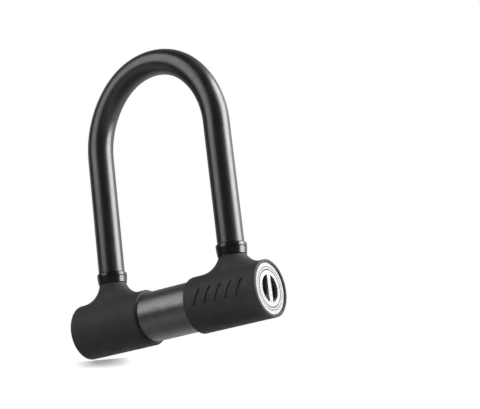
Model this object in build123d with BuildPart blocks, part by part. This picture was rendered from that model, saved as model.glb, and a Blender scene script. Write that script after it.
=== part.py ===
from build123d import *
import os
from math import acos, cos, degrees, radians, sin, sqrt

# U lock: a 14 mm shackle whose two feet drop into a round crossbar and are held by two
# sliding bolts. A key turns the plug, the plug turns a cam barrel, and the barrel's two
# helical grooves push both bolts outward into notches in the feet.
#
# Frame: X runs along the crossbar with the key face at +X, Z runs up the legs, and the
# origin is under the middle of the crossbar. Lengths are millimetres. The model stands in
# its unlocked state: shackle seated, bolts drawn in, plug upright, dust cover closed.

# ---- driving dimensions -------------------------------------------------------------

# shackle
SHACKLE_R = 7.0
LEG_X = 39.0
BEND_START = 93.4
BEND_SIDE_R = 47.7
BEND_TOP_R = 35.5
FOOT_R = 6.0
FOOT_BOTTOM = 0.3
SHOULDER = 23.6
NOTCH_DEPTH = 4.0

# collars on the legs
COLLAR_R = 8.0
COLLAR_FOOT_R = 7.6
COLLAR_BOTTOM = {"left": 22.6, "right": 20.9}
COLLAR_HEIGHT = {"left": 6.1, "right": 6.5}

# crossbar
SLEEVE_R = 14.8
AXIS_Z = SLEEVE_R
HALF_LENGTH = 59.3
TUBE_R = 13.15
TUBE_BORE_R = 10.2
TUBE_LEFT = -57.0
TUBE_RIGHT = 56.5
SLEEVE_INNER_X = 15.2
NECK_R = 7.6
NECK_TOP = {"left": 22.4, "right": 20.7}
FLARE_R = {"left": 12.3, "right": 12.3}

# lock works
CORE_R = 10.1
PLUG_DROP = 4.6
PLUG_R = 3.4
PLUG_FRONT = 55.4
BARREL_R = 4.4
BOLT_WIDTH = 8.0
BOLT_HEIGHT = 4.8
BOLT_MID = 6.0
BOLT_TRAVEL = 4.5
BOLT_TIP = 32.0
PIN_COUNT = 5
PIN_PITCH = 3.4

# end face
FACE_X = 58.7
FACE_R = 13.3
COVER_R = 9.55
COVER_FLANGE_R = 10.2
WINDOW_R = 7.1
GRIP_BAR = 3.0

# gaps
RUNNING_GAP = 0.06
SLIDING_GAP = 0.2
SIDES = {"left": -1, "right": 1}


# ---- helpers ------------------------------------------------------------------------

def across(x, drop=0.0):
    """Plane square to the crossbar at x, looking along +X: local x is Y, local y is up."""
    return Plane(origin=(x, 0, AXIS_Z - drop), x_dir=(0, 1, 0), z_dir=(1, 0, 0))


def level(height, x=0.0):
    """Horizontal plane at a height above the crossbar's axis."""
    return Plane(origin=(x, 0, AXIS_Z + height), z_dir=(0, 0, 1))


# Upright plane through both legs: local x is X, local y is the height above the axis.
SIDE_VIEW = Plane(origin=(0, 0, AXIS_Z), x_dir=(1, 0, 0), z_dir=(0, -1, 0))


def save(part, name):
    """Label a finished piece and write its STEP file."""
    part.label = name
    export_step(part, f"parts/{name}.step")


def shaft(x_from, x_to, radius, drop=0.0):
    """Plain round bar along X, used to cut bores that lie along the crossbar."""
    with BuildPart() as bar:
        with BuildSketch(across(x_from, drop)):
            Circle(radius)
        extrude(amount=x_to - x_from)
    return bar.part


def ring_along_x(x_from, x_to, outer, inner):
    """Plain ring on the crossbar's axis."""
    with BuildPart() as ring:
        with BuildSketch(across(x_from)):
            Circle(outer)
            Circle(inner, mode=Mode.SUBTRACT)
        extrude(amount=x_to - x_from)
    return ring.part


os.makedirs("parts", exist_ok=True)


# ---- shackle ------------------------------------------------------------------------

# The arch is three tangent arcs: a wide one on each side and a tighter one on top.
BEND_SIDE_ANGLE = degrees(acos((BEND_SIDE_R - LEG_X) / (BEND_SIDE_R - BEND_TOP_R)))
NOTCH_HEIGHT = BOLT_HEIGHT + 0.6

with BuildPart() as shackle:
    with BuildLine(SIDE_VIEW) as centreline:
        left_leg = Line((-LEG_X, SHOULDER), (-LEG_X, BEND_START))
        left_arc = JernArc(left_leg @ 1, left_leg % 1, BEND_SIDE_R, -BEND_SIDE_ANGLE)
        crown = JernArc(left_arc @ 1, left_arc % 1, BEND_TOP_R, 2 * BEND_SIDE_ANGLE - 180)
        right_arc = JernArc(crown @ 1, crown % 1, BEND_SIDE_R, -BEND_SIDE_ANGLE)
        Line(right_arc @ 1, (LEG_X, SHOULDER))
    with BuildSketch(level(SHOULDER, -LEG_X)):
        Circle(SHACKLE_R)
    sweep()
    with BuildSketch(level(FOOT_BOTTOM)):
        with Locations((-LEG_X, 0), (LEG_X, 0)):
            Circle(FOOT_R)
    extrude(amount=SHOULDER - FOOT_BOTTOM)
    chamfer(shackle.faces().sort_by(Axis.Z)[:2].edges(), 0.8)
    # a notch on the inner side of each foot takes the bolt
    with BuildSketch(SIDE_VIEW):
        with Locations((0, BOLT_MID)):
            Rectangle(2 * (LEG_X - FOOT_R + NOTCH_DEPTH), NOTCH_HEIGHT)
    extrude(amount=FOOT_R + 1, both=True, mode=Mode.SUBTRACT)

save(shackle.part, "shackle")


BAND_SHARE = 0.6
COLLAR_GROOVE = 0.3
COLLAR_EDGE = 0.25
COLLAR_TAPER = 0.6


def collar(name):
    """Glossy collar under a leg's shoulder: a lower band, a fine groove and a tapered top."""
    x = SIDES[name] * LEG_X
    bottom = COLLAR_BOTTOM[name]
    top = bottom + COLLAR_HEIGHT[name]
    groove = bottom + BAND_SHARE * COLLAR_HEIGHT[name]
    with BuildPart() as body:
        with BuildSketch(SIDE_VIEW):
            with BuildLine():
                Polyline(
                    (x + FOOT_R, bottom),
                    (x + COLLAR_FOOT_R - COLLAR_EDGE, bottom),
                    (x + COLLAR_FOOT_R, bottom + COLLAR_EDGE),
                    (x + COLLAR_R, groove - COLLAR_EDGE),
                    (x + COLLAR_R - COLLAR_GROOVE, groove),
                    (x + COLLAR_R, groove + COLLAR_EDGE),
                    (x + COLLAR_R, top - COLLAR_TAPER),
                    (x + SHACKLE_R + COLLAR_EDGE, top),
                    (x + SHACKLE_R, top),
                    (x + SHACKLE_R, SHOULDER),
                    (x + FOOT_R, SHOULDER),
                    close=True,
                )
            make_face()
        revolve(axis=Axis((x, 0, 0), (0, 0, 1)))
    return body.part


for name in SIDES:
    save(collar(name), f"{name}_collar")


# ---- crossbar tube ------------------------------------------------------------------

FOOT_HOLE_R = 6.35
ROLL_PIN_R = 1.1
ROLL_PIN_X = 22.0
ROLL_PIN_HEIGHT = 1.6
END_PIN_R = 1.5
END_PIN_X = -52.0
SCREW_R = 2.0
SCREW_X = 50.0

with BuildPart() as crossbar_tube:
    with BuildSketch(across(TUBE_LEFT)):
        Circle(TUBE_R)
        Circle(TUBE_BORE_R, mode=Mode.SUBTRACT)
    extrude(amount=TUBE_RIGHT - TUBE_LEFT)
    # entry holes for the feet, through the top wall only
    with BuildSketch(level(0)):
        with Locations((-LEG_X, 0), (LEG_X, 0)):
            Circle(FOOT_HOLE_R)
    extrude(amount=TUBE_R + 1, mode=Mode.SUBTRACT)
    # roll pins that hold the bolt carrier come in from the front
    with BuildSketch(SIDE_VIEW):
        with Locations((-ROLL_PIN_X, ROLL_PIN_HEIGHT), (ROLL_PIN_X, ROLL_PIN_HEIGHT)):
            Circle(ROLL_PIN_R)
    extrude(amount=TUBE_R + 1, mode=Mode.SUBTRACT)
    # the roll pin of the end plug runs right through
    with BuildSketch(SIDE_VIEW):
        with Locations((END_PIN_X, 0)):
            Circle(END_PIN_R)
    extrude(amount=TUBE_R + 1, both=True, mode=Mode.SUBTRACT)
    # set screw of the cylinder, from below
    with BuildSketch(level(0)):
        with Locations((SCREW_X, 0)):
            Circle(SCREW_R)
    extrude(amount=-(TUBE_R + 1), mode=Mode.SUBTRACT)

save(crossbar_tube.part, "crossbar_tube")


# ---- rubber sleeves -----------------------------------------------------------------

# The flare is a rolling fillet between the sleeve and an upright core, cut off at the
# neck's top. Along the crossbar the fillet is still widening there, so the core is an
# ellipse, narrower that way, which leaves the cut neck round.
DRUM_OVERRUN = 8.0
NECK_EDGE = 0.3
NECK_HOLE_R = 6.45
SEAL_HEIGHT = 14.0
SEAL_WIRE_R = 0.6
ENVELOPE_R = 32.0
SEAL_RING_R = FOOT_R + 0.15 + SEAL_WIRE_R
DRAIN_X = -24.3
DRAIN_LENGTH = 5.6
DRAIN_WIDTH = 2.6


def flared_blank(name):
    """Overlong solid sleeve with its flared neck, before it is hollowed and trimmed."""
    side = SIDES[name]
    outer_x = side * (HALF_LENGTH + DRUM_OVERRUN)
    inner_x = side * (SLEEVE_INNER_X - DRUM_OVERRUN)
    flare = FLARE_R[name]
    rise = SLEEVE_R + flare - NECK_TOP[name]
    core = NECK_R - flare + sqrt(flare**2 - rise**2)
    with BuildPart() as blank:
        with BuildSketch(across(min(inner_x, outer_x))):
            Circle(SLEEVE_R)
        extrude(amount=abs(outer_x - inner_x))
        with BuildSketch(level(0, side * LEG_X)):
            Ellipse(core, NECK_R)
        extrude(amount=ENVELOPE_R)
        fillet(blank.edges().filter_by(GeomType.BSPLINE), flare)
        # cut the neck level
        with BuildSketch(level(NECK_TOP[name], side * LEG_X)):
            Circle(ENVELOPE_R)
        extrude(amount=ENVELOPE_R, mode=Mode.SUBTRACT)
        fillet(blank.faces().sort_by(Axis.Z)[-1].edges(), NECK_EDGE)
    return blank.part


RIM_ROUND = 1.5
END_ROUND = {"left": 2.2, "right": 0.9}
# the rounds run out just above the drum, which leaves a faint moulded edge
RIM_LIFT = 0.12
END_LIFT = {"left": 0.52, "right": 0.25}


def sleeve_envelope(name):
    """Space that a sleeve may fill: a wide drum with a rounded rim and outer end."""
    side = SIDES[name]
    rim_x = side * SLEEVE_INNER_X
    end_x = side * HALF_LENGTH
    end_round = END_ROUND[name]
    rim_foot = (rim_x, SLEEVE_R + RIM_LIFT - RIM_ROUND)
    rim_top = (rim_x + side * RIM_ROUND, SLEEVE_R + RIM_LIFT)
    end_top = (end_x - side * end_round, SLEEVE_R + END_LIFT[name])
    end_foot = (end_x, SLEEVE_R + END_LIFT[name] - end_round)
    with BuildPart() as drum:
        with BuildSketch(SIDE_VIEW):
            with BuildLine():
                Line((rim_x, 0), rim_foot)
                RadiusArc(rim_foot, rim_top, side * RIM_ROUND)
                Polyline(rim_top, (rim_top[0], ENVELOPE_R), (end_top[0], ENVELOPE_R), end_top)
                RadiusArc(end_top, end_foot, side * end_round)
                Polyline(end_foot, (end_x, 0), (rim_x, 0))
            make_face()
        revolve(axis=Axis((0, 0, AXIS_Z), (1, 0, 0)))
    return drum.part


def neck_bore(name):
    """Hole for the foot, with the groove that holds the seal ring."""
    x = SIDES[name] * LEG_X
    with BuildPart() as bore:
        with BuildSketch(level(0)):
            with Locations((x, 0)):
                Circle(NECK_HOLE_R)
        extrude(amount=NECK_TOP[name] + 1)
        with BuildSketch(level(SEAL_HEIGHT - SEAL_WIRE_R)):
            with Locations((x, 0)):
                Circle(SEAL_RING_R + SEAL_WIRE_R)
        extrude(amount=2 * SEAL_WIRE_R)
    return bore.part


with BuildPart() as left_sleeve:
    add(flared_blank("left"))
    add(sleeve_envelope("left"), mode=Mode.INTERSECT)
    add(shaft(TUBE_LEFT - 0.1, 0, TUBE_R), mode=Mode.SUBTRACT)
    add(neck_bore("left"), mode=Mode.SUBTRACT)
    # drain slot underneath
    with BuildSketch(level(-SLEEVE_R - 1)):
        with Locations((DRAIN_X, 0)):
            SlotOverall(DRAIN_LENGTH, DRAIN_WIDTH)
    extrude(amount=3, mode=Mode.SUBTRACT)

MARK_COUNT = 5
MARK_PITCH = 6.4
MARK_LENGTH = 9.0
MARK_WIDTH = 1.9
MARK_DEPTH = 0.6
MARK_HEIGHT = 1.2
MARK_SLANT = 65

with BuildPart() as grip_marks:
    with BuildSketch(SIDE_VIEW):
        with Locations((LEG_X - 2.0, MARK_HEIGHT)):
            with GridLocations(MARK_PITCH, 1, MARK_COUNT, 1):
                SlotOverall(MARK_LENGTH, MARK_WIDTH, rotation=MARK_SLANT)
    extrude(amount=SLEEVE_R + 1)
    add(shaft(0, HALF_LENGTH, SLEEVE_R - MARK_DEPTH), mode=Mode.SUBTRACT)

with BuildPart() as right_sleeve:
    add(flared_blank("right"))
    add(grip_marks.part, mode=Mode.SUBTRACT)
    add(sleeve_envelope("right"), mode=Mode.INTERSECT)
    add(shaft(0, TUBE_RIGHT, TUBE_R), mode=Mode.SUBTRACT)
    add(shaft(TUBE_RIGHT, HALF_LENGTH, FACE_R + 0.05), mode=Mode.SUBTRACT)
    add(neck_bore("right"), mode=Mode.SUBTRACT)

save(left_sleeve.part, "left_sleeve")
save(right_sleeve.part, "right_sleeve")

with BuildPart() as foot_seals:
    with BuildSketch(SIDE_VIEW):
        with Locations((SEAL_RING_R - LEG_X, SEAL_HEIGHT)):
            Circle(SEAL_WIRE_R)
    revolve(axis=Axis((-LEG_X, 0, 0), (0, 0, 1)))
    mirror(about=Plane.YZ)

save(foot_seals.part, "foot_seals")


# ---- left end -----------------------------------------------------------------------

END_PLUG_RIGHT = -47.2

with BuildPart() as left_end_plug:
    add(shaft(TUBE_LEFT, END_PLUG_RIGHT, TUBE_BORE_R - 0.05))
    chamfer(left_end_plug.edges().filter_by(GeomType.CIRCLE), 0.5)
    # lightened from inside, and drilled across for its pin
    with BuildSketch(across(END_PLUG_RIGHT)):
        Circle(5)
    extrude(amount=-2.5, mode=Mode.SUBTRACT)
    with BuildSketch(SIDE_VIEW):
        with Locations((END_PIN_X, 0)):
            Circle(END_PIN_R)
    extrude(amount=TUBE_R, both=True, mode=Mode.SUBTRACT)

save(left_end_plug.part, "left_end_plug")

with BuildPart() as end_roll_pin:
    with BuildSketch(SIDE_VIEW):
        with Locations((END_PIN_X, 0)):
            Circle(END_PIN_R)
            Circle(END_PIN_R - 0.5, mode=Mode.SUBTRACT)
        with Locations((END_PIN_X, END_PIN_R)):
            Rectangle(0.5, 2.2, mode=Mode.SUBTRACT)
    extrude(amount=TUBE_R - 0.4, both=True)

save(end_roll_pin.part, "end_roll_pin")


# ---- foot sockets -------------------------------------------------------------------

SOCKET_INNER = 31.1
SOCKET_OUTER = 46.9
SOCKET_BORE_R = 6.25
HOUSING_TOP = -0.3


def foot_socket(side, floor):
    """Guide block in the tube with the bore for a foot and the window for a bolt."""
    start = min(side * SOCKET_INNER, side * SOCKET_OUTER)
    with BuildPart() as socket:
        with BuildSketch(across(start)):
            Circle(CORE_R)
        extrude(amount=SOCKET_OUTER - SOCKET_INNER)
        with BuildSketch(level(floor)):
            with Locations((side * LEG_X, 0)):
                Circle(SOCKET_BORE_R)
        extrude(amount=CORE_R + 1, mode=Mode.SUBTRACT)
        with BuildSketch(across(side * (SOCKET_INNER - 1))):
            with Locations((0, BOLT_MID)):
                Rectangle(BOLT_WIDTH + 2 * SLIDING_GAP, BOLT_HEIGHT + 2 * SLIDING_GAP)
        extrude(amount=side * 5, mode=Mode.SUBTRACT)
    return socket.part


with BuildPart() as left_foot_socket:
    add(foot_socket(-1, 0.0))

with BuildPart() as right_foot_socket:
    add(foot_socket(1, -1.0))
    # flat underside that sits on the cylinder housing
    with BuildSketch(level(HOUSING_TOP + 0.1)):
        Rectangle(200, 60)
    extrude(amount=-20, mode=Mode.SUBTRACT)

save(left_foot_socket.part, "left_foot_socket")
save(right_foot_socket.part, "right_foot_socket")


# ---- bolt carrier -------------------------------------------------------------------

CARRIER_LEFT = -30.9
CARRIER_RIGHT = 28.9
FOLLOWER_X = 12.0
FOLLOWER_R = 1.1
FOLLOWER_GAP = 0.2
BARREL_LEFT = -20.0
BARREL_RIGHT = 28.4

with BuildPart() as bolt_carrier:
    with BuildSketch(across(CARRIER_LEFT)):
        Circle(CORE_R)
        with Locations((0, BOLT_MID)):
            Rectangle(
                BOLT_WIDTH + 2 * SLIDING_GAP,
                BOLT_HEIGHT + 2 * SLIDING_GAP,
                mode=Mode.SUBTRACT,
            )
    extrude(amount=CARRIER_RIGHT - CARRIER_LEFT)
    # bearing bore of the cam barrel, blind at the left
    add(
        shaft(BARREL_LEFT - 0.2, CARRIER_RIGHT, BARREL_R + RUNNING_GAP, PLUG_DROP),
        mode=Mode.SUBTRACT,
    )
    # slots that let the bolts' follower pins reach the barrel
    with BuildSketch(level(-PLUG_DROP)):
        for side in SIDES.values():
            with Locations((side * (FOLLOWER_X + BOLT_TRAVEL / 2), 0)):
                SlotCenterToCenter(BOLT_TRAVEL + 0.4, 2 * (FOLLOWER_R + FOLLOWER_GAP))
    extrude(amount=PLUG_DROP + BOLT_MID, mode=Mode.SUBTRACT)
    # cross holes of the roll pins
    with BuildSketch(SIDE_VIEW):
        with Locations((-ROLL_PIN_X, ROLL_PIN_HEIGHT), (ROLL_PIN_X, ROLL_PIN_HEIGHT)):
            Circle(ROLL_PIN_R)
    extrude(amount=CORE_R + 1, mode=Mode.SUBTRACT)

save(bolt_carrier.part, "bolt_carrier")

with BuildPart() as carrier_roll_pins:
    with BuildSketch(SIDE_VIEW.offset(3.0)):
        with Locations((-ROLL_PIN_X, ROLL_PIN_HEIGHT), (ROLL_PIN_X, ROLL_PIN_HEIGHT)):
            Circle(ROLL_PIN_R)
            Circle(ROLL_PIN_R - 0.4, mode=Mode.SUBTRACT)
        slit_height = ROLL_PIN_HEIGHT + ROLL_PIN_R
        with Locations((-ROLL_PIN_X, slit_height), (ROLL_PIN_X, slit_height)):
            Rectangle(0.4, 1.6, mode=Mode.SUBTRACT)
    extrude(amount=TUBE_R - 0.6 - 3.0)

save(carrier_roll_pins.part, "carrier_roll_pins")


# ---- bolts and their follower pins --------------------------------------------------

BOLT_LENGTH = 24.0
GROOVE_DEPTH = 1.5
BARREL_TOP = BARREL_R - PLUG_DROP
FOLLOWER_BOTTOM = BARREL_TOP - GROOVE_DEPTH + 0.25
FOLLOWER_TOP = BOLT_MID + BOLT_HEIGHT / 2


def bolt(side):
    """Sliding bolt with a bevelled nose, drilled for its follower pin."""
    nose = side * BOLT_TIP
    with BuildPart() as bar:
        with BuildSketch(across(nose - side * BOLT_LENGTH)):
            with Locations((0, BOLT_MID)):
                Rectangle(BOLT_WIDTH, BOLT_HEIGHT)
        extrude(amount=side * BOLT_LENGTH)
        chamfer(bar.faces().sort_by(Axis.X)[-1 if side > 0 else 0].edges(), 0.7)
        with BuildSketch(level(0)):
            with Locations((side * FOLLOWER_X, 0)):
                Circle(FOLLOWER_R)
        extrude(amount=TUBE_R, mode=Mode.SUBTRACT)
    return bar.part


def follower_pin(side):
    """Pin pressed through the bolt, reaching into its groove of the cam barrel."""
    with BuildPart() as pin:
        with BuildSketch(level(FOLLOWER_BOTTOM)):
            with Locations((side * FOLLOWER_X, 0)):
                Circle(FOLLOWER_R)
        extrude(amount=FOLLOWER_TOP - FOLLOWER_BOTTOM)
        chamfer(pin.edges().filter_by(GeomType.CIRCLE).sort_by(Axis.Z)[0], 0.25)
    return pin.part


for name, side in SIDES.items():
    save(bolt(side), f"{name}_bolt")
    save(follower_pin(side), f"{name}_bolt_pin")


# ---- cam barrel ---------------------------------------------------------------------

TONGUE_X = 26.6
TONGUE_WIDTH = 2.0
TONGUE_HEIGHT = 5.0
GROOVE_STEPS = 24
GROOVE_OVERRUN = 4.0
GROOVE_R = FOLLOWER_R + FOLLOWER_GAP


def groove_cutter(side):
    """Helical groove as one smooth stack of radial drillings, a quarter turn long."""
    turn = 90 + 2 * GROOVE_OVERRUN
    with BuildPart() as cutter:
        for step in range(GROOVE_STEPS + 1):
            angle = -GROOVE_OVERRUN + turn * step / GROOVE_STEPS
            x = side * (FOLLOWER_X + BOLT_TRAVEL * angle / 90)
            outward = (0, sin(radians(angle)), cos(radians(angle)))
            axis_point = Vector(x, 0, AXIS_Z - PLUG_DROP)
            floor = axis_point + Vector(*outward) * (BARREL_R - GROOVE_DEPTH)
            with BuildSketch(Plane(origin=floor, z_dir=outward)):
                Circle(GROOVE_R)
            extrude(amount=GROOVE_DEPTH + 1)
    return cutter.part


with BuildPart() as cam_barrel:
    add(shaft(BARREL_LEFT, BARREL_RIGHT, BARREL_R, PLUG_DROP))
    chamfer(cam_barrel.edges().filter_by(GeomType.CIRCLE), 0.4)
    # waist between the two grooves
    add(shaft(-6, 6, BARREL_R + 1, PLUG_DROP), mode=Mode.SUBTRACT)
    add(shaft(-7, 7, BARREL_R - 1, PLUG_DROP))
    for side in SIDES.values():
        add(groove_cutter(side), mode=Mode.SUBTRACT)
    # slot for the plug's tongue
    with BuildSketch(across(TONGUE_X - 0.1, PLUG_DROP)):
        Rectangle(TONGUE_WIDTH + 0.1, 2 * BARREL_R + 2)
    extrude(amount=10, mode=Mode.SUBTRACT)

save(cam_barrel.part, "cam_barrel")


# ---- lock cylinder ------------------------------------------------------------------

HOUSING_REAR = 31.1
HEAD_REAR = 47.1
NOSE_REAR = 52.9
HOUSING_FRONT = 55.5
NOSE_R = 9.5
CHAMBER_R = 0.95
PIN_R = 0.85
KEYWAY_WIDTH = 2.0
KEYWAY_HEIGHT = 4.8
KEYWAY_END = 33.0
CLIP_X = 30.3
CLIP_WIDTH = 0.5
CLIP_GROOVE_R = 2.9
CAP_THICKNESS = 0.6
CHAMBER_DEPTH = sqrt(CORE_R**2 - (PLUG_DROP + CHAMBER_R) ** 2)
PIN_XS = [PLUG_FRONT - 4.9 - PIN_PITCH * index for index in range(PIN_COUNT)]
PIN_ROW = [(x, -PLUG_DROP) for x in PIN_XS]

with BuildPart() as cylinder_housing:
    add(shaft(HOUSING_REAR, NOSE_REAR, CORE_R))
    add(shaft(NOSE_REAR, HOUSING_FRONT, NOSE_R))
    # the rear half is cut away above, where the foot of the shackle comes down
    with BuildSketch(level(HOUSING_TOP)):
        with Locations(((HOUSING_REAR + HEAD_REAR) / 2, 0)):
            Rectangle(HEAD_REAR - HOUSING_REAR, 40)
    extrude(amount=20, mode=Mode.SUBTRACT)
    add(shaft(0, HALF_LENGTH, PLUG_R + RUNNING_GAP, PLUG_DROP), mode=Mode.SUBTRACT)
    # pin chambers, square to the key's flat side
    with BuildSketch(SIDE_VIEW):
        with Locations(*PIN_ROW):
            Circle(CHAMBER_R)
    extrude(amount=CORE_R + 1, mode=Mode.SUBTRACT)
    with BuildSketch(level(-CORE_R - 1)):
        with Locations((SCREW_X, 0)):
            Circle(SCREW_R)
    extrude(amount=2.3, mode=Mode.SUBTRACT)

save(cylinder_housing.part, "cylinder_housing")

with BuildPart() as cylinder_set_screw:
    with BuildSketch(level(-TUBE_R + 0.4)):
        with Locations((SCREW_X, 0)):
            Circle(SCREW_R)
    extrude(amount=TUBE_R - 0.4 - CORE_R + 1.1)
    with BuildSketch(level(-TUBE_R + 0.4)):
        with Locations((SCREW_X, 0)):
            RegularPolygon(1.1, 6)
    extrude(amount=1.6, mode=Mode.SUBTRACT)

save(cylinder_set_screw.part, "cylinder_set_screw")

with BuildPart() as lock_plug:
    add(shaft(TONGUE_X + 3, PLUG_FRONT, PLUG_R, PLUG_DROP))
    chamfer(lock_plug.edges().filter_by(GeomType.CIRCLE).sort_by(Axis.X)[-1], 0.3)
    with BuildSketch(across(PLUG_FRONT, PLUG_DROP)):
        Rectangle(KEYWAY_WIDTH, KEYWAY_HEIGHT)
    extrude(amount=KEYWAY_END - PLUG_FRONT, mode=Mode.SUBTRACT)
    with BuildSketch(SIDE_VIEW):
        with Locations(*PIN_ROW):
            Circle(CHAMBER_R)
    extrude(amount=PLUG_R + 1, mode=Mode.SUBTRACT)
    # groove for the clip, and the tongue that turns the barrel
    with BuildSketch(across(CLIP_X, PLUG_DROP)):
        Circle(PLUG_R + 1)
        Circle(CLIP_GROOVE_R, mode=Mode.SUBTRACT)
    extrude(amount=CLIP_WIDTH, mode=Mode.SUBTRACT)
    with BuildSketch(across(TONGUE_X, PLUG_DROP)):
        Rectangle(TONGUE_WIDTH, TONGUE_HEIGHT)
    extrude(amount=3)

save(lock_plug.part, "lock_plug")

with BuildPart() as plug_clip:
    with BuildSketch(across(CLIP_X, PLUG_DROP)):
        Circle(PLUG_R + 1)
        Circle(CLIP_GROOVE_R, mode=Mode.SUBTRACT)
        with Locations((0, -PLUG_R)):
            Rectangle(3.4, 4, mode=Mode.SUBTRACT)
    extrude(amount=CLIP_WIDTH)

save(plug_clip.part, "plug_clip")


def pin_row(y_from, y_to, radius):
    """Five equal round pieces standing in the pin chambers, out along -Y."""
    with BuildPart() as row:
        with BuildSketch(SIDE_VIEW.offset(y_from)):
            with Locations(*PIN_ROW):
                Circle(radius)
        extrude(amount=y_to - y_from)
    return row.part


KEY_PIN_TIP = 1.05
KEY_PIN_END = 3.2
DRIVER_END = 5.4
SPRING_END = CHAMBER_DEPTH - CAP_THICKNESS

with BuildPart() as key_pins:
    add(pin_row(KEY_PIN_TIP, KEY_PIN_END, PIN_R))
    chamfer(key_pins.edges().filter_by(GeomType.CIRCLE).group_by(Axis.Y)[-1], 0.35)

with BuildPart() as driver_pins:
    add(pin_row(PLUG_R + 0.15, DRIVER_END, PIN_R))

with BuildPart() as chamber_caps:
    add(pin_row(SPRING_END, CHAMBER_DEPTH, CHAMBER_R))

SPRING_COIL_R = 0.6
SPRING_WIRE_R = 0.12
SPRING_LENGTH = SPRING_END - DRIVER_END - 2 * SPRING_WIRE_R - 0.04

with BuildPart() as pin_springs:
    for x in PIN_XS:
        start = Vector(x, -(DRIVER_END + SPRING_WIRE_R + 0.02), AXIS_Z - PLUG_DROP)
        with BuildLine() as coil:
            Helix(0.5, SPRING_LENGTH, SPRING_COIL_R, start, direction=(0, -1, 0))
        with BuildSketch(Plane(origin=coil.line @ 0, z_dir=coil.line % 0)):
            Circle(SPRING_WIRE_R)
        sweep(path=coil.line, is_frenet=True)

save(key_pins.part, "key_pins")
save(driver_pins.part, "driver_pins")
save(chamber_caps.part, "chamber_caps")
save(pin_springs.part, "pin_springs")


# ---- end face -----------------------------------------------------------------------

RING_REAR = 56.6
RING_LINE_R = 10.95
COVER_BACK = 57.7
COVER_FLANGE_BACK = 57.1
PLATE_REAR = 55.6
PLATE_FRONT = 56.5
BEZEL_BORE_R = 9.6
FLANGE_SEAT = COVER_FLANGE_BACK - 0.05
FLANGE_BORE_R = COVER_FLANGE_R + 0.1
KEY_HOLE_R = 2.65
WASHER_REAR = PLATE_FRONT + 0.05
WASHER_THICKNESS = 0.3
WASHER_R = 9.4
WASHER_BORE_R = 8.2
RING_EDGE = 0.2
RING_LINE = 0.15
COVER_GAP = 0.08
COVER_EDGE = 0.22

with BuildPart() as face_ring:
    with BuildSketch(SIDE_VIEW):
        with BuildLine():
            Polyline(
                (NOSE_REAR, BEZEL_BORE_R),
                (NOSE_REAR, TUBE_BORE_R - 0.05),
                (RING_REAR, TUBE_BORE_R - 0.05),
                (RING_REAR, FACE_R),
                (FACE_X - RING_EDGE, FACE_R),
                (FACE_X, FACE_R - RING_EDGE),
                (FACE_X, RING_LINE_R + RING_LINE),
                (FACE_X - RING_EDGE, RING_LINE_R),
                (FACE_X, RING_LINE_R - RING_LINE),
                (FACE_X, COVER_R + COVER_GAP + COVER_EDGE),
                (FACE_X - COVER_EDGE, COVER_R + COVER_GAP),
                (COVER_BACK + COVER_GAP, COVER_R + COVER_GAP),
                (COVER_BACK + COVER_GAP, FLANGE_BORE_R),
                (FLANGE_SEAT, FLANGE_BORE_R),
                (FLANGE_SEAT, BEZEL_BORE_R),
                close=True,
            )
        make_face()
    revolve(axis=Axis((0, 0, AXIS_Z), (1, 0, 0)))

save(face_ring.part, "face_ring")

with BuildPart() as keyway_plate:
    add(shaft(PLATE_REAR, PLATE_FRONT, BEZEL_BORE_R - 0.05))
    add(shaft(PLATE_REAR, HALF_LENGTH, KEY_HOLE_R, PLUG_DROP), mode=Mode.SUBTRACT)

save(keyway_plate.part, "keyway_plate")

with BuildPart() as spring_washer:
    add(ring_along_x(WASHER_REAR, WASHER_REAR + WASHER_THICKNESS, WASHER_R, WASHER_BORE_R))

save(spring_washer.part, "spring_washer")

with BuildPart() as dust_cover:
    add(shaft(COVER_FLANGE_BACK, COVER_BACK, COVER_FLANGE_R))
    add(shaft(COVER_BACK, FACE_X, COVER_R))
    rim = dust_cover.edges().filter_by(GeomType.CIRCLE).sort_by(Axis.X)[-1]
    chamfer(rim, COVER_EDGE)
    # two windows leave an upright grip bar between them
    with BuildSketch(across(COVER_FLANGE_BACK)):
        Circle(WINDOW_R)
        Rectangle(GRIP_BAR, 2 * WINDOW_R + 1, mode=Mode.SUBTRACT)
    extrude(amount=FACE_X - COVER_FLANGE_BACK, mode=Mode.SUBTRACT)

save(dust_cover.part, "dust_cover")
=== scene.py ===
"""A short U lock in a white studio. Everything is in metres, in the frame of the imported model."""

import math

import bpy
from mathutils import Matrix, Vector


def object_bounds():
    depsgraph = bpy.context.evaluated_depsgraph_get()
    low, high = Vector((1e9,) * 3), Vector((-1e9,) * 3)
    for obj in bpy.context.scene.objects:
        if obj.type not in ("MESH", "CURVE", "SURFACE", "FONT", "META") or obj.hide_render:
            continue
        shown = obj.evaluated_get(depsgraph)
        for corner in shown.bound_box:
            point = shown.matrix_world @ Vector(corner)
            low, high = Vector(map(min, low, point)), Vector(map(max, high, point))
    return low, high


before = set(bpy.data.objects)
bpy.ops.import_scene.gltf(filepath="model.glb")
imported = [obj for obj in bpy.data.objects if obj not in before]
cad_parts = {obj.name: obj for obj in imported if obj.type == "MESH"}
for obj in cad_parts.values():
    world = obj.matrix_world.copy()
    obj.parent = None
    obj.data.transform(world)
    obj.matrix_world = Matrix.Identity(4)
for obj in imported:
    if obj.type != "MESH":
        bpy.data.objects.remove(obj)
cad_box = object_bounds()

# ---------------------------------------------------------------------------------------------
# Driving values
# ---------------------------------------------------------------------------------------------
MM = 0.001
CENTRE = (cad_box[0] + cad_box[1]) / 2

CAMERA_PLACE = (0.38594, -0.54337, -0.10882)
CAMERA_TURN = (104.956, 6.7646, 33.7379)  # degrees about X, Y and Z
LENS = 97.53  # millimetres, as is the sensor
SENSOR = 36.0

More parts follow.
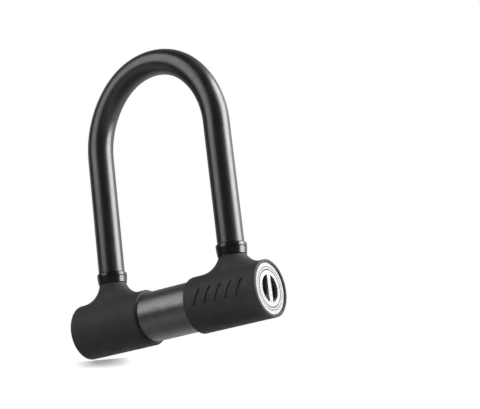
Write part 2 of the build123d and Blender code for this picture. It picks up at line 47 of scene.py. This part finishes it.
# the end face: the crossbar's axis, the engraved circle and the gap round the turning cover
AXIS_HEIGHT = 14.8 * MM
RING_LINE_RADIUS = 10.95 * MM
RING_LINE_HALF = 0.17 * MM
COVER_GAP_RADIUS = 9.6 * MM
COVER_GAP_HALF = 0.26 * MM
BRIGHT = (0.67, 0.665, 0.655)
LINE_SHADE = 0.16

NOISE_LOW = 0.3
NOISE_HIGH = 0.7

# lamps, and how bright the surroundings look and shine: SKY_DEEP is taken off again far below
LAMP_DISTANCE = 0.9
SKY_SEEN = 1.0
SKY_FRONT = 0.04
SKY_BEHIND = 0.4
SKY_BELOW = 0.4
SKY_DEEP = -0.26
# where each change starts and ends, along the Y or Z of a unit direction
FRONT_TO_BEHIND = (-0.3, 0.8)
LEVEL_TO_BELOW = (0.0, -0.42)
BELOW_TO_DEEP = (-0.45, -0.9)

# the floor fades out between two radii
PAPER_WHITE = 0.86
FLOOR_DROP = 0.05 * MM
FLOOR_SOLID = 0.22
FLOOR_END = 0.42

# a small tilted sheet under the closed end, seen from below the floor only, showing a painted
# contact shadow: it fades like the floor, and darkens by how closed in it is within a short reach
REST_PLACE = (-60.0 * MM, 3.6 * MM, 0.3 * MM)
REST_NORMAL = (0.32, -0.34, 0.89)
REST_TOP = -0.12 * MM
REST_SHADE = 7 * MM
REST_CLOSED = 0.25
REST_DARKEST = 0.36
REST_SOLID = 24 * MM
REST_END = 44 * MM


# ---------------------------------------------------------------------------------------------
# Node helpers
# ---------------------------------------------------------------------------------------------
class Finish:
    """One material: a Principled shader with small helpers that add its surface detail."""

    def __init__(self, name, colour, roughness, metallic=0.0, **sockets):
        self.material = bpy.data.materials.new(name)
        self.material.use_nodes = True
        self.tree = self.material.node_tree
        self.shader = self.tree.nodes["Principled BSDF"]
        self.shader.inputs["Base Color"].default_value = (*colour, 1.0)
        self.shader.inputs["Roughness"].default_value = roughness
        self.shader.inputs["Metallic"].default_value = metallic
        for socket, value in sockets.items():
            self.shader.inputs[socket.replace("_", " ")].default_value = value
        self.place = self.node("ShaderNodeTexCoord").outputs["Object"]
        self.height = None

    def node(self, kind, **settings):
        made = self.tree.nodes.new(kind)
        for key, value in settings.items():
            setattr(made, key, value)
        return made

    def link(self, source, target):
        self.tree.links.new(source, target)

    def stretched(self, scale):
        """Object coordinates, scaled differently along each axis."""
        mapping = self.node("ShaderNodeMapping")
        mapping.inputs["Scale"].default_value = scale
        self.link(self.place, mapping.inputs["Vector"])
        return mapping.outputs["Vector"]

    def noise(self, size, detail=3.0, stretch=(1.0, 1.0, 1.0)):
        """Soft noise with features about this size, in metres."""
        made = self.node("ShaderNodeTexNoise")
        made.inputs["Scale"].default_value = 1.0 / size
        made.inputs["Detail"].default_value = detail
        self.link(self.stretched(stretch), made.inputs["Vector"])
        return made.outputs["Fac"]

    def from_axis(self, height):
        """Distance from a line that runs along X at this height."""
        parts = self.node("ShaderNodeSeparateXYZ")
        self.link(self.place, parts.inputs["Vector"])
        flat = self.node("ShaderNodeCombineXYZ")
        rise = self.node("ShaderNodeMath", operation="SUBTRACT")
        rise.inputs[1].default_value = height
        self.link(parts.outputs["Z"], rise.inputs[0])
        self.link(parts.outputs["Y"], flat.inputs["Y"])
        self.link(rise.outputs["Value"], flat.inputs["Z"])
        away = self.node("ShaderNodeVectorMath", operation="LENGTH")
        self.link(flat.outputs["Vector"], away.inputs[0])
        return away.outputs["Value"]

    def near(self, value, middle, half):
        """1 where the value is within half of the middle, 0 elsewhere."""
        made = self.node("ShaderNodeMath", operation="COMPARE")
        made.inputs[1].default_value = middle
        made.inputs[2].default_value = half
        self.link(value, made.inputs[0])
        return made.outputs["Value"]

    def ranged(self, value, low, high):
        """Noise, spread from low to high over the span that it mostly fills."""
        made = self.node("ShaderNodeMapRange")
        made.inputs["From Min"].default_value = NOISE_LOW
        made.inputs["From Max"].default_value = NOISE_HIGH
        made.inputs["To Min"].default_value = low
        made.inputs["To Max"].default_value = high
        self.link(value, made.inputs["Value"])
        return made.outputs["Result"]

    def uneven_gloss(self, value, low, high):
        self.link(self.ranged(value, low, high), self.shader.inputs["Roughness"])
        return self

    def two_tone(self, value, first, second):
        """Base colour that drifts between two shades."""
        mix = self.node("ShaderNodeMix", data_type="RGBA")
        mix.inputs["A"].default_value = (*first, 1.0)
        mix.inputs["B"].default_value = (*second, 1.0)
        self.link(self.ranged(value, 0.0, 1.0), mix.inputs["Factor"])
        self.link(mix.outputs["Result"], self.shader.inputs["Base Color"])
        return self

    def bump(self, value, depth, strength=1.0):
        """Relief of this depth, in metres, added over any relief already there."""
        made = self.node("ShaderNodeBump")
        made.inputs["Strength"].default_value = strength
        made.inputs["Distance"].default_value = depth
        self.link(value, made.inputs["Height"])
        if self.height is not None:
            self.link(self.height, made.inputs["Normal"])
        self.height = made.outputs["Normal"]
        self.link(self.height, self.shader.inputs["Normal"])
        return self


def grey(level, blue=0.0):
    return (level, level, level * (1.0 + blue))


# ---------------------------------------------------------------------------------------------
# Materials, one for each finish
# ---------------------------------------------------------------------------------------------
def satin_black_steel():
    made = Finish("satin_black_steel", grey(0.005), 0.33, Specular_IOR_Level=1.0)
    made.uneven_gloss(made.noise(6 * MM), 0.29, 0.37)
    made.bump(made.noise(0.35 * MM, 2.0), 0.006 * MM)
    return made


def gloss_black():
    made = Finish("gloss_black", grey(0.006), 0.24, Specular_IOR_Level=0.8)
    made.uneven_gloss(made.noise(3 * MM), 0.2, 0.28)
    made.bump(made.noise(1.2 * MM, 1.0), 0.004 * MM)
    return made


def dark_steel_tube():
    made = Finish("dark_steel_tube", grey(0.17), 0.36, 1.0)
    grain = made.noise(0.16 * MM, 3.0, (0.05, 1.0, 1.0))
    made.uneven_gloss(made.noise(0.5 * MM, 3.0, (0.08, 1.0, 1.0)), 0.3, 0.42)
    made.two_tone(made.noise(5 * MM), grey(0.16), grey(0.19))
    made.bump(grain, 0.004 * MM)
    return made


def sleeve_rubber():
    made = Finish("sleeve_rubber", grey(0.03, 0.06), 0.62, Specular_IOR_Level=0.4)
    made.uneven_gloss(made.noise(4 * MM), 0.56, 0.68)
    made.two_tone(made.noise(9 * MM, 4.0), grey(0.024, 0.06), grey(0.030, 0.06))
    made.bump(made.noise(0.25 * MM, 3.0), 0.012 * MM)
    return made


def seal_rubber():
    made = Finish("seal_rubber", grey(0.02), 0.5)
    made.uneven_gloss(made.noise(2 * MM), 0.45, 0.6)
    made.bump(made.noise(0.3 * MM), 0.008 * MM)
    return made


def turned_metal(name, colour, low, high):
    """Lathe-turned metal: fine rings round the crossbar's line, and drifting gloss."""
    made = Finish(name, colour, (low + high) / 2, 1.0)
    made.uneven_gloss(made.noise(0.7 * MM, 3.0, (1.0, 0.1, 0.1)), low, high)
    made.bump(made.noise(0.12 * MM, 2.0, (1.0, 0.05, 0.05)), 0.003 * MM)
    return made


def zinc_casting():
    made = Finish("zinc_casting", (0.55, 0.56, 0.58), 0.5, 1.0)
    made.uneven_gloss(made.noise(1.5 * MM), 0.42, 0.6)
    made.bump(made.noise(0.5 * MM, 4.0), 0.02 * MM)
    return made


def bright_steel():
    """Bright turned face: fine rings about the crossbar's axis, and shade in its two gaps."""
    made = Finish("bright_steel", BRIGHT, 0.2, 1.0)
    radius = made.from_axis(AXIS_HEIGHT)
    rings = made.node("ShaderNodeCombineXYZ")
    made.link(radius, rings.inputs["X"])
    turned = made.node("ShaderNodeTexNoise")
    turned.inputs["Scale"].default_value = 1.0 / (0.12 * MM)
    turned.inputs["Detail"].default_value = 2.0
    made.link(rings.outputs["Vector"], turned.inputs["Vector"])
    made.uneven_gloss(turned.outputs["Fac"], 0.17, 0.23)
    made.bump(turned.outputs["Fac"], 0.0006 * MM)
    engraved = made.near(radius, RING_LINE_RADIUS, RING_LINE_HALF)
    gap = made.near(radius, COVER_GAP_RADIUS, COVER_GAP_HALF)
    either = made.node("ShaderNodeMath", operation="MAXIMUM")
    made.link(engraved, either.inputs[0])
    made.link(gap, either.inputs[1])
    mix = made.node("ShaderNodeMix", data_type="RGBA")
    mix.inputs["A"].default_value = (*BRIGHT, 1.0)
    mix.inputs["B"].default_value = (*grey(LINE_SHADE), 1.0)
    made.link(either.outputs["Value"], mix.inputs["Factor"])
    made.link(mix.outputs["Result"], made.shader.inputs["Base Color"])
    return made


def black_plate():
    made = Finish("black_plate", grey(0.01), 0.45)
    made.uneven_gloss(made.noise(1.0 * MM), 0.38, 0.55)
    made.bump(made.noise(0.2 * MM), 0.006 * MM)
    return made


def all_finishes():
    return {
        "satin_black_steel": satin_black_steel(),
        "gloss_black": gloss_black(),
        "dark_steel_tube": dark_steel_tube(),
        "sleeve_rubber": sleeve_rubber(),
        "seal_rubber": seal_rubber(),
        "plain_steel": turned_metal("plain_steel", (0.5, 0.5, 0.51), 0.3, 0.42),
        "spring_steel": turned_metal("spring_steel", (0.35, 0.35, 0.36), 0.25, 0.4),
        "zinc_casting": zinc_casting(),
        "brass": turned_metal("brass", (0.78, 0.62, 0.3), 0.22, 0.36),
        "bright_steel": bright_steel(),
        "black_plate": black_plate(),
    }


def dress_nodes(finishes):
    """Gives every CAD node the detailed material of its own slot."""
    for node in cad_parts.values():
        for place in node.material_slots:
            place.material = finishes[place.material.name.split(".")[0]].material


# ---------------------------------------------------------------------------------------------
# Studio
# ---------------------------------------------------------------------------------------------
def toward(azimuth, elevation):
    """Unit vector from the lock: azimuth 0 is the front, 90 is the key end."""
    a = math.radians(azimuth)
    e = math.radians(elevation)
    return Vector((math.sin(a) * math.cos(e), -math.cos(a) * math.cos(e), math.sin(e)))


def softbox(name, azimuth, elevation, width, height, glow, mirrored=True):
    """A square-on soft lamp. Its glow is the brightness of its face, where white paper is 1."""
    light = bpy.data.lights.new(name, "AREA")
    light.shape = "RECTANGLE"
    light.size = width
    light.size_y = height
    light.energy = glow * width * height * math.pi
    lamp = bpy.data.objects.new(name, light)
    bpy.context.scene.collection.objects.link(lamp)
    back = toward(azimuth, elevation)
    lamp.location = CENTRE + back * LAMP_DISTANCE
    lamp.rotation_mode = "QUATERNION"
    lamp.rotation_quaternion = (-back).to_track_quat("-Z", "Y")
    lamp.visible_camera = False
    lamp.visible_glossy = mirrored


def sky():
    """White behind the lock. What it lights is dim in front, brighter behind and pale below."""
    world = bpy.data.worlds.new("studio")
    bpy.context.scene.world = world
    world.use_nodes = True
    tree = world.node_tree
    tree.nodes.clear()

    def ramp(value, starts, ends, low, high):
        made = tree.nodes.new("ShaderNodeMapRange")
        made.interpolation_type = "SMOOTHSTEP"
        made.inputs["From Min"].default_value = starts
        made.inputs["From Max"].default_value = ends
        made.inputs["To Min"].default_value = low
        made.inputs["To Max"].default_value = high
        tree.links.new(value, made.inputs["Value"])
        return made.outputs["Result"]

    def backdrop(strength):
        made = tree.nodes.new("ShaderNodeBackground")
        made.inputs["Color"].default_value = (1.0, 1.0, 1.0, 1.0)
        if isinstance(strength, float):
            made.inputs["Strength"].default_value = strength
        else:
            tree.links.new(strength, made.inputs["Strength"])
        return made.outputs["Background"]

    def total(first, second):
        made = tree.nodes.new("ShaderNodeMath")
        made.operation = "ADD"
        tree.links.new(first, made.inputs[0])
        tree.links.new(second, made.inputs[1])
        return made.outputs["Value"]

    way = tree.nodes.new("ShaderNodeTexCoord")
    parts = tree.nodes.new("ShaderNodeSeparateXYZ")
    tree.links.new(way.outputs["Generated"], parts.inputs["Vector"])
    behind = ramp(parts.outputs["Y"], *FRONT_TO_BEHIND, SKY_FRONT, SKY_BEHIND)
    below = ramp(parts.outputs["Z"], *LEVEL_TO_BELOW, 0.0, SKY_BELOW)
    deep = ramp(parts.outputs["Z"], *BELOW_TO_DEEP, 0.0, SKY_DEEP)
    level = total(behind, total(below, deep))
    path = tree.nodes.new("ShaderNodeLightPath")
    mix = tree.nodes.new("ShaderNodeMixShader")
    tree.links.new(path.outputs["Is Camera Ray"], mix.inputs["Fac"])
    tree.links.new(backdrop(level), mix.inputs[1])
    tree.links.new(backdrop(SKY_SEEN), mix.inputs[2])
    out = tree.nodes.new("ShaderNodeOutputWorld")
    tree.links.new(mix.outputs["Shader"], out.inputs["Surface"])


def matt_white(tree):
    made = tree.nodes.new("ShaderNodeBsdfDiffuse")
    made.inputs["Color"].default_value = (*grey(PAPER_WHITE), 1.0)
    return made.outputs["BSDF"]


def painted_shadow_white(tree):
    """Self-lit white with a painted contact shadow: it darkens where the lock is close above it."""
    openness = tree.nodes.new("ShaderNodeAmbientOcclusion")
    openness.samples = 24
    openness.inputs["Distance"].default_value = REST_SHADE
    level = tree.nodes.new("ShaderNodeMapRange")
    level.inputs["From Min"].default_value = REST_CLOSED
    level.inputs["To Min"].default_value = REST_DARKEST
    tree.links.new(openness.outputs["AO"], level.inputs["Value"])
    made = tree.nodes.new("ShaderNodeEmission")
    tree.links.new(level.outputs["Result"], made.inputs["Strength"])
    return made.outputs["Emission"]


def fading_paper(name, solid, end, face):
    """Paper seen on its upper side only, which thins out to nothing between two radii."""
    paper = bpy.data.materials.new(name)
    paper.use_nodes = True
    tree = paper.node_tree
    tree.nodes.clear()
    place = tree.nodes.new("ShaderNodeTexCoord")
    reach = tree.nodes.new("ShaderNodeVectorMath")
    reach.operation = "LENGTH"
    tree.links.new(place.outputs["Object"], reach.inputs[0])
    fade = tree.nodes.new("ShaderNodeMapRange")
    fade.interpolation_type = "SMOOTHSTEP"
    fade.inputs["From Min"].default_value = solid
    fade.inputs["From Max"].default_value = end
    tree.links.new(reach.outputs["Value"], fade.inputs["Value"])
    side = tree.nodes.new("ShaderNodeNewGeometry")
    clear = tree.nodes.new("ShaderNodeMath")
    clear.operation = "MAXIMUM"
    tree.links.new(fade.outputs["Result"], clear.inputs[0])
    tree.links.new(side.outputs["Backfacing"], clear.inputs[1])
    nothing = tree.nodes.new("ShaderNodeBsdfTransparent")
    mix = tree.nodes.new("ShaderNodeMixShader")
    tree.links.new(clear.outputs["Value"], mix.inputs["Fac"])
    tree.links.new(face(tree), mix.inputs[1])
    tree.links.new(nothing.outputs["BSDF"], mix.inputs[2])
    out = tree.nodes.new("ShaderNodeOutputMaterial")
    tree.links.new(mix.outputs["Shader"], out.inputs["Surface"])
    return paper


def flat_sheet(name, corners, material):
    """One flat face with its material, linked into the scene."""
    mesh = bpy.data.meshes.new(name)
    mesh.from_pydata(corners, [], [range(len(corners))])
    mesh.materials.append(material)
    sheet = bpy.data.objects.new(name, mesh)
    bpy.context.scene.collection.objects.link(sheet)
    return sheet


def floor():
    """The level floor that the lock stands on."""
    corners = [(x * FLOOR_END, y * FLOOR_END, 0) for x, y in ((-1, -1), (1, -1), (1, 1), (-1, 1))]
    paper = fading_paper("floor_paper", FLOOR_SOLID, FLOOR_END, matt_white)
    sheet = flat_sheet("floor", corners, paper)
    sheet.location = (0, 0, -FLOOR_DROP)
    sheet.visible_glossy = False
    sheet.visible_shadow = False


def painted_shadow_sheet():
    """The tilted sheet that shows a painted shadow of the closed end; it stays below the floor."""
    up = Vector(REST_NORMAL).normalized()
    middle = Vector(REST_PLACE)
    aside = Vector((0, 0, 1)).cross(up).normalized()
    downhill = aside.cross(up)
    start = (REST_TOP - middle.z) / downhill.z
    far_end = downhill * REST_END
    near_end = downhill * start
    reach = aside * REST_END
    corners = [near_end + reach, near_end - reach, far_end - reach, far_end + reach]
    # painted contact shadow: self-lit white, not lit by the lamps, darker where the lock closes it
    # in
    paper = fading_paper("painted_shadow_paper", REST_SOLID, REST_END, painted_shadow_white)
    sheet = flat_sheet("painted_shadow_sheet", corners, paper)
    sheet.location = middle
    for ray in ("visible_diffuse", "visible_glossy", "visible_transmission", "visible_shadow"):
        setattr(sheet, ray, False)


def camera():
    """Looks up from below the floor's level, on the key end's side of the front."""
    lens = bpy.data.cameras.new("camera")
    lens.lens = LENS
    lens.sensor_width = SENSOR
    lens.sensor_fit = "HORIZONTAL"
    lens.clip_start = 0.01
    lens.clip_end = 20.0
    made = bpy.data.objects.new("camera", lens)
    bpy.context.scene.collection.objects.link(made)
    made.location = CAMERA_PLACE
    made.rotation_euler = [math.radians(angle) for angle in CAMERA_TURN]
    bpy.context.scene.camera = made


bpy.context.scene.view_settings.view_transform = "Standard"
camera()
sky()
floor()
painted_shadow_sheet()
softbox("right_box", 118, 22, 0.64, 1.1, 8.6)
softbox("back_box", 160, 18, 0.5, 0.9, 0.85)
softbox("side_box", -98, 14, 0.3, 0.9, 0.45)
softbox("left_box", -28, 34, 0.68, 0.85, 2.2)
softbox("top_box", 20, 75, 0.9, 0.7, 1.0, mirrored=False)
dress_nodes(all_finishes())
